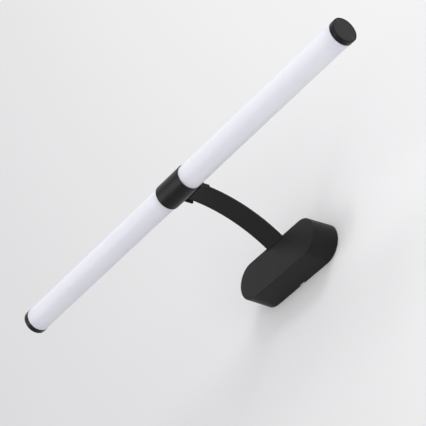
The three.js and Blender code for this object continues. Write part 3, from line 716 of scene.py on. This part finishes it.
def canopy_cover():
    """Drafted stadium shell, with the screw posts, the ribs and ledge that hold it to the bracket,
    the arm's slot and the latch's notch."""
    profile = rounded([
        (BASE_CLOSE, CAVITY_Y, 0), (BASE_WALL, CAVITY_Y, 0.6 * MM), (BASE_WALL, 0, 0.2 * MM),
        (0, 0, 0.25 * MM), (BASE_DRAFT, -BASE_DEPTH, BASE_EDGE), (BASE_CLOSE, -BASE_DEPTH, 0),
    ], 6)
    cover = loft("canopy_cover", [stadium_ring(inset, y) for inset, y in profile])
    for x, z, seat in fixing_posts():
        fuse(cover, rod_y("post", POST_R, CAVITY_Y - ROOT, seat, x, z))
        cut(cover, rod_y("bore", POST_BORE_R, CAVITY_Y + POST_FLOOR, seat + MM, x, z, 20))
    top = base_high.z - BASE_WALL
    for x in (-RIB_X, RIB_X):
        low, high = (x - RIB_HALF, RIB_FRONT, top - RIB_HEIGHT), (x + RIB_HALF, RIB_BACK, top + ROOT)
        fuse(cover, block("rib", low, high))
    bottom = -top
    low, high = (-LEDGE_HALF, LEDGE_FRONT, bottom - ROOT), (LEDGE_HALF, LEDGE_BACK, bottom + LEDGE_HEIGHT)
    fuse(cover, block("ledge", low, high))
    under, over = -ARM_HALF_THICK - SLOT_GAP_UNDER, ARM_HALF_THICK + SLOT_GAP
    opening = flat_section(ARM_HALF_WIDTH + SLOT_GAP, under, over, 0.5 * MM)
    slot = swept("slot", opening, arm_stations(arc_angle(SLOT_FROM_Y), ARM_KNEE - SLOT_SHORT))
    notch = block("notch", (-NOTCH_HALF, -NOTCH_DEPTH, -FAR_PAST), (NOTCH_HALF, MM, bottom + MM))
    cut(cover, slot, notch)
    return dressed(cover, "base", LOOKS["powder_coat"], ["base_cover"], 38)


# ------------------------------------------------------------------ arm and hinge

def arm_channel():
    """Folded sheet with its two lips up, bent down into the canopy, with its foot's screw holes."""
    w, t, inner = ARM_HALF_WIDTH, ARM_HALF_THICK, ARM_HALF_WIDTH - ARM_SHEET
    floor, lip, fold = ARM_SHEET - t, 0.22 * MM, 0.25 * MM
    section = rounded([
        (-w, -t, 0.9 * MM), (w, -t, 0.9 * MM), (w, t, lip), (inner, t, lip),
        (inner, floor, fold), (-inner, floor, fold), (-inner, t, lip), (-w, t, lip),
    ], 4)
    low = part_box("arm_channel")[0]
    stations = arm_stations(arc_angle(low.y), ARM_KNEE) + foot_stations(low.z)
    channel = swept("arm_shell", section, stations)
    foot_y = stations[-1][0].x
    for n in (1, 2, 3):
        spot = middle(f"arm_foot_screw_{n}")
        cut(channel, rod_y("hole", ARM_HOLE_R, foot_y - 4 * MM, foot_y + 4 * MM, spot.x, spot.z, 24))
    return dressed(channel, "base", LOOKS["powder_coat"], ["arm_channel"])


def arm_strip():
    """Closes the channel between its lips, from the knuckle's tongue to the knee."""
    half = ARM_HALF_WIDTH - ARM_SHEET - GAP
    section = flat_section(half, ARM_HALF_THICK - ARM_SHEET, ARM_HALF_THICK, 0.2 * MM)
    stations = arm_stations(arc_angle(TONGUE_Y) - STRIP_START, ARM_KNEE + STRIP_SHORT)
    strip = swept("arm_closing_strip", section, stations)
    return dressed(strip, "base", LOOKS["powder_coat"], ["arm_strip"])


def knuckle():
    """Barrel on a tongue that fills the channel's end, slotted and grooved for the lead."""
    w, y, z = ARM_HALF_WIDTH, HINGE.y, HINGE.z
    floor = -ARM_HALF_THICK + ARM_SHEET + GAP
    section = flat_section(w - ARM_SHEET - GAP, floor, ARM_HALF_THICK, 0.25 * MM)
    tongue = swept("tongue", section, arm_stations(arc_angle(y), arc_angle(TONGUE_Y)))
    barrel = turned_x("hinge_knuckle", rounded([
        (0, -w, 0), (BARREL_R, -w, 0.35 * MM), (BARREL_R, w, 0.35 * MM), (0, w, 0),
    ]), y, z, 64)
    fuse(barrel, tongue)
    half, bottom, top = LEAD_SLOT_HALF, z - 9 * MM, z + 9 * MM
    slot = block("slot", (-half, y - 5 * MM, bottom), (half, y + BARREL_R + MM, top))
    half = LEAD_GROOVE_HALF
    groove = block("groove", (-half, y, bottom), (half, TONGUE_Y + MM, z + MM))
    cut(barrel, rod_x("bore", PIN_BORE_R, -PAST, PAST, y, z), slot, groove)
    return dressed(barrel, "base", LOOKS["powder_coat"], ["arm_knuckle"])


def washer(side):
    """Friction washer between the knuckle and an ear."""
    name = f"hinge_washer_{side}"
    low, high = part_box(name)
    r = (high.z - low.z) / 2
    bore = PIN_BORE_R + WASHER_PLAY
    outline = rounded([
        (bore, low.x, 0.1 * MM), (r, low.x, 0.12 * MM), (r, high.x, 0.12 * MM), (bore, high.x, 0.1 * MM),
    ], 3)
    made = turned_x(f"friction_{name}", outline, HINGE.y, HINGE.z, 64)
    return dressed(made, "base", LOOKS["black_oxide"], [name])


def hinge_pin():
    """Riveted pin with a dimple in each end."""
    low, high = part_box("hinge_pin")
    r, end = (high.z - low.z) / 2, EAR_OUT
    dimple, deep = 0.5 * r, 0.3 * MM
    outline = rounded([
        (0, deep - end, 0), (dimple - 0.1 * MM, deep - end, 0.05 * MM), (dimple, -end, 0.05 * MM),
        (r, -end, 0.2 * MM), (r, end, 0.2 * MM), (dimple, end, 0.05 * MM),
        (dimple - 0.1 * MM, end - deep, 0.05 * MM), (0, end - deep, 0),
    ], 3)
    pin = turned_x("tilt_pin", outline, HINGE.y, HINGE.z, 48)
    return dressed(pin, "head", LOOKS["black_oxide"], ["hinge_pin"])


def back_holes(piece):
    """Cuts the lead's hole and the two yoke screws' holes, on the side towards the arm."""
    near = HEAD_HOLES_FROM
    cut(piece, rod_y("hole", LEAD_HOLE_R, AXIS.y + near, AXIS.y + PAST, 0, AXIS.z + LEAD_RISE))
    for side in ("left", "right"):
        hole = rod_y("hole", SCREW_HOLE_R, near, PAST, middle(f"yoke_screw_{side}").x, 0)
        hole.data.transform(ON_SCREW_LINE)
        cut(piece, hole)
    return piece


def yoke():
    """Saddle round the collar, with an ear at each end that the pin goes through."""
    saddle = [(AXIS.y, AXIS.z)]
    for angle in range(SADDLE_FROM, SADDLE_TO + 1, SADDLE_STEP):
        turn = math.radians(angle)
        saddle.append((AXIS.y + SADDLE_R * math.cos(turn), AXIS.z + SADDLE_R * math.sin(turn)))
    made = prism_x("tilt_yoke", saddle, -EAR_OUT, EAR_OUT)
    inside = AXIS.y + 5 * MM
    plate = rounded([
        (inside, EAR_BOTTOM, 0), (EAR_END, EAR_BOTTOM, 0.6 * MM), (EAR_END, EAR_TOP, 0.9 * MM),
        (inside, EAR_TOP, 0),
    ])
    for a, b in ((EAR_IN, EAR_OUT), (-EAR_OUT, -EAR_IN)):
        fuse(made, prism_x("ear", plate, a, b), rod_x("lobe", LOBE_R, a, b, HINGE.y, HINGE.z))
    cut(made, rod_x("seat", COLLAR_R + GAP, -FAR_PAST, FAR_PAST, AXIS.y, AXIS.z, 128))
    softened(made, 0.2 * MM)
    cut(made, rod_x("bore", PIN_BORE_R, -PAST, PAST, HINGE.y, HINGE.z))
    back_holes(made)
    return dressed(made, "head", LOOKS["powder_coat"], ["hinge_yoke"])


# ------------------------------------------------------------------ head

def collar():
    """Ring round the tube's middle, with its holes towards the arm."""
    half, bore, r = COLLAR_HALF, COLLAR_BORE, COLLAR_R
    outline = rounded([
        (bore, -half, 0.2 * MM), (r, -half, 0.35 * MM), (r, half, 0.35 * MM), (bore, half, 0.2 * MM),
    ], 5)
    made = back_holes(turned_x("tube_collar", outline, AXIS.y, AXIS.z, 128))
    return dressed(made, "head", LOOKS["black_satin"], ["collar"])


def tube():
    """Opal tube from cap to cap, with its holes behind the collar."""
    half, bore, r = TUBE_HALF, TUBE_R - TUBE_WALL, TUBE_R
    outline = rounded([
        (bore, -half, 0.15 * MM), (r, -half, 0.25 * MM), (r, half, 0.25 * MM), (bore, half, 0.15 * MM),
    ], 3)
    made = back_holes(turned_x("opal_tube", outline, AXIS.y, AXIS.z, 128))
    return dressed(made, "head", LOOKS["opal"], ["diffuser_tube"])


def end_cap(side, name):
    """Flange with a fine groove round its face and a hollow plug inside the tube. The flange's
    side is smoother than its face."""
    end, inner = HEAD_END, HEAD_END - CAP_FLANGE
    face, back, floor = end - CAP_SUNK, end - CAP_FACE, end - CAP_GROOVE_DEPTH
    plug = TUBE_R - TUBE_WALL - GAP
    hollow, plug_end = plug - CAP_PLUG_WALL, inner - CAP_PLUG
    middle_r = CAP_R - CAP_GROOVE_IN
    groove_in, groove_out = middle_r - CAP_GROOVE_HALF, middle_r + CAP_GROOVE_HALF
    outline = rounded([
        (0, face, 0), (groove_in, face, 0.1 * MM), (groove_in, floor, 0.08 * MM),
        (groove_out, floor, 0.08 * MM), (groove_out, end, 0.08 * MM), (CAP_R, end, 0.2 * MM),
        (CAP_R, inner, 0.2 * MM), (plug, inner, 0), (plug, plug_end, 0.3 * MM),
        (hollow, plug_end, 0.3 * MM), (hollow, back, 0.4 * MM), (0, back, 0),
    ], 4)
    made = turned_x(f"tube_cap_{name}", [(r, side * x) for r, x in outline], AXIS.y, AXIS.z, 128)
    piece = dressed(made, "head", LOOKS["black_plastic"], [f"end_cap_{name}"])
    piece.data.materials.append(LOOKS["black_satin"])
    for polygon in piece.data.polygons:
        if abs(polygon.normal.x) < 0.5:
            polygon.material_index = 1
    return piece


# ------------------------------------------------------------------ screws and wires

def pan_screw(name, x, z, *, head_r, head_height, shank_r, top, tip):
    """Pan head with a cross recess and a threaded shank along Y, from the head's top to the tip."""
    way = 1 if tip > top else -1
    seat = top + way * head_height
    flat_r, shoulder_r, root_r = 0.55 * head_r, 0.85 * head_r, 0.8 * shank_r
    pitch, plain, point = 0.55 * MM, 0.3 * MM, 0.4 * MM
    outline = [
        (0, top), (flat_r, top), (shoulder_r, top + way * 0.18 * head_height),
        (head_r, top + way * 0.55 * head_height), (head_r, seat), (shank_r, seat),
    ]
    turns = int((abs(tip - seat) - 2 * point) / pitch)
    for n in range(turns):
        at = seat + way * (plain + n * pitch)
        outline += [(root_r, at), (shank_r, at + way * pitch / 2)]
    outline += [(root_r, tip - way * point), (0, tip)]
    screw = turned_y(name, outline, x, z, 28)
    arm, half = 0.55 * head_r, 0.14 * head_r
    y0, y1 = sorted((top - way * MM, top + way * 0.6 * head_height))
    cut(screw, block("recess", (x - arm, y0, z - half), (x + arm, y1, z + half)))
    return cut(screw, block("recess", (x - half, y0, z - arm), (x + half, y1, z + arm)))


def case_screw(node, way, head_height, shank_r):
    """A screw along Y where its CAD node is. Way is 1 if its shank points to the wall."""
    low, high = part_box(node)
    spot = middle(node)
    top, tip = (low.y, high.y) if way > 0 else (high.y, low.y)
    screw = pan_screw(
        f"{node}_threaded", spot.x, spot.z, head_r=(high.x - low.x) / 2, head_height=head_height,
        shank_r=shank_r, top=top, tip=tip,
    )
    return dressed(screw, "base", LOOKS["zinc_steel"], [node])


def yoke_screw(side):
    """A screw through saddle, collar and tube, with its head on the saddle."""
    node = f"yoke_screw_{side}"
    low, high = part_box(node)
    seat, height, length = SADDLE_R + 0.2 * MM, 1.1 * MM, 7 * MM
    screw = pan_screw(
        f"{node}_threaded", middle(node).x, 0, head_r=(high.x - low.x) / 2, head_height=height,
        shank_r=0.9 * MM, top=seat + height, tip=seat - length,
    )
    screw.data.transform(ON_SCREW_LINE)
    return dressed(screw, "head", LOOKS["black_oxide"], [node])


def all_screws():
    """Every screw but the terminal block's clamp screws, which stay CAD nodes."""
    to_room = [f"driver_screw_{n}" for n in (1, 2)] + [f"arm_foot_screw_{n}" for n in (1, 2, 3)]
    for node in to_room:
        case_screw(node, -1, 1.5 * MM, 0.9 * MM)
    case_screw("terminal_fixing_screw", 1, 1.4 * MM, 1.2 * MM)
    case_screw("earth_screw", 1, 1.3 * MM, 1.0 * MM)
    yoke_screw("left")
    yoke_screw("right")


def smooth_path(points, steps):
    """Catmull-Rom curve through the points, with that many steps between neighbours."""
    ends = [2 * points[0] - points[1]] + points + [2 * points[-1] - points[-2]]
    path = []
    for a, b, c, d in zip(ends, ends[1:], ends[2:], ends[3:]):
        for s in range(steps):
            t = s / steps
            path.append(0.5 * (2 * b + (c - a) * t + (2 * a - 5 * b + 4 * c - d) * t ** 2
                               + (3 * b - 3 * c + d - a) * t ** 3))
    return path + [points[-1]]


def wire(name, points, r, steps=5, sides=14):
    """A round wire along a smooth curve, its section carried without twist."""
    path = smooth_path([Vector(p) for p in points], steps)
    rings = []
    across = (path[1] - path[0]).orthogonal().normalized()
    for i, point in enumerate(path):
        along = (path[min(i + 1, len(path) - 1)] - path[max(i - 1, 0)]).normalized()
        across = (across - along * across.dot(along)).normalized()
        other = along.cross(across)
        turns = [2 * math.pi * s / sides for s in range(sides)]
        rings.append([point + (across * math.cos(a) + other * math.sin(a)) * r for a in turns])
    return loft(name, rings)


# ------------------------------------------------------------------ inside the canopy and the tube

# look, and width of the rounding on each sharp edge in millimetres
KEPT = {
    "wall_bracket": ("zinc_steel", 0.15), "cable_entry_grommet": ("rubber", 0.3),
    "driver_tray": ("white_plastic", 0.25), "driver_board": ("driver_board", 0.1),
    "transformer": ("winding", 0.5), "film_capacitor": ("winding", 0.5),
    "input_capacitor": ("component", 0.2), "output_capacitor": ("component", 0.2),
    "supply_capacitor": ("component", 0.2), "driver_chip": ("component", 0.15),
    "bridge_rectifier": ("component", 0.25), "fuse_resistor": ("white_plastic", 0.4),
    "terminal_block": ("white_plastic", 0.3), "earth_lug": ("zinc_steel", 0.15),
    "led_carrier": ("aluminium", 0.1), "led_board_left": ("led_board", 0.08),
    "led_board_right": ("led_board", 0.08),
}
KEPT.update({f"terminal_screw_{n}": ("zinc_steel", 0.12) for n in range(1, 7)})
KEPT_CREASE = 40                      # degrees, edges sharper than this are rounded


def kept_nodes():
    """The CAD nodes whose shape is right keep it, with a finish and rounded edges."""
    for node, (look, width) in KEPT.items():
        piece = bpy.data.objects[node]
        piece.data.materials.clear()
        piece.data.materials.append(LOOKS[look])
        bevel = piece.modifiers.new("Edges", "BEVEL")
        bevel.width = width * MM
        bevel.segments = 2
        bevel.limit_method = "ANGLE"
        bevel.angle_limit = math.radians(KEPT_CREASE)
        bevel.use_clamp_overlap = True
        weighted = piece.modifiers.new("Normals", "WEIGHTED_NORMAL")
        weighted.keep_sharp = True


# ------------------------------------------------------------------ wiring

def millimetres(points):
    """The points as vectors in metres."""
    return [Vector(p) * MM for p in points]


def pole_x(pole):
    """Middle of a pole of the terminal block, in millimetres."""
    return (TERMINAL_LEFT + POLE_PITCH * (pole + 0.5)) / MM


def supply_wire(node, pole, drop, z, look):
    """From a pole of the terminal block, under the arm's foot, to the driver."""
    x, y = pole_x(pole), TERMINAL_HOLE_Y / MM
    route = [
        (x, y, -5.4), (x, y, drop + 3.2), (x + 4.5, -10.2, drop + 0.5), (-7, -12.8, drop),
        (5, -12.8, drop), (11.4, -12.6, (drop + z) / 2), (14.4, -12.6, z), (17, -12.6, z),
    ]
    made = wire(f"{node}_insulated", millimetres(route), WIRE_R, 6)
    return dressed(made, "base", LOOKS[look], [node])


def earth_wire():
    """From the terminal block's first pole to the lug on the bracket."""
    x, y = pole_x(0), TERMINAL_HOLE_Y / MM
    route = [
        (x, y, 5.4), (x, y, 11), (x + 5, -7.4, 13.6), (-17, -6.6, 14), (-11.4, -4.4, 14), (-7.6, -3.8, 13.4),
    ]
    made = wire("earth_wire_insulated", millimetres(route), WIRE_R, 6)
    return dressed(made, "base", LOOKS["wire_earth"], ["earth_wire"])


def arm_lead():
    """Flat twin lead along the arm's channel, then a round tail down to the driver."""
    w, t, r = 1.3 * MM, 0.4 * MM, 0.35 * MM
    section = rounded([(-w, -t, r), (w, -t, r), (w, t, r), (-w, t, r)], 4)
    stations = arm_stations(arc_angle(HINGE.y + 2 * MM), ARM_KNEE) + foot_stations(13 * MM)
    lead = swept("twin_lead", section, stations)
    y = stations[-1][0].x / MM + 0.6
    tail = [(0, y, 13.8), (0.6, y + 2, 12), (5, y + 5, 10), (10, -13.4, 9), (17, -12.6, 9)]
    fuse(lead, wire("tail", millimetres(tail), WIRE_R, 8))
    return dressed(lead, "base", LOOKS["wire_black"], ["arm_lead"])


def hinge_lead():
    """The lead's slack over the pin, which bends with the hinge on the real lamp; here it is one fixed shape
    on no body.
    """
    hole_z = AXIS.z + LEAD_RISE
    y, z, top = HINGE.y, HINGE.z, 2.0 * MM
    route = [
        (0, y + 3.4 * MM, z + 0.3 * MM), (0, y + 1.6 * MM, z + 1.5 * MM), (0, y, z + top),
        (0, y - 1.7 * MM, z + 1.2 * MM), (0, y - 3.2 * MM, hole_z),
    ]
    slack = wire("hinge_lead_slack", route, 0.7 * MM, 8)
    dressed(slack, None, LOOKS["wire_black"])
    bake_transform(slack)
    return slack


def head_lead():
    """From the hinge through the collar's hole to the two LED boards."""
    low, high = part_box("head_lead")
    z = AXIS.z + LEAD_RISE
    inner = low.y + 0.8 * MM
    down = [(0, high.y + 0.3 * MM, z), (0, (high.y + inner) / 2, z), (0, inner, z)]
    across = [(low.x, inner, z), (-MM, inner, z), (MM, inner, z), (high.x, inner, z)]
    stem = wire("head_lead_sleeved", down, 1.1 * MM, 4)
    fuse(stem, wire("branch", across, 0.75 * MM, 4))
    return dressed(stem, "head", LOOKS["wire_black"], ["head_lead"])


make_studio()
kept_nodes()
canopy_cover()
arm_channel()
arm_strip()
knuckle()
hinge_pin()
yoke()
collar()
tube()
for side, name in ((-1, "left"), (1, "right")):
    washer(name)
    end_cap(side, name)
all_screws()
supply_wire("live_wire", 1, -16.9, -10.4, "wire_brown")
supply_wire("neutral_wire", 2, -13.2, -7, "wire_white")
earth_wire()
arm_lead()
hinge_lead()
head_lead()
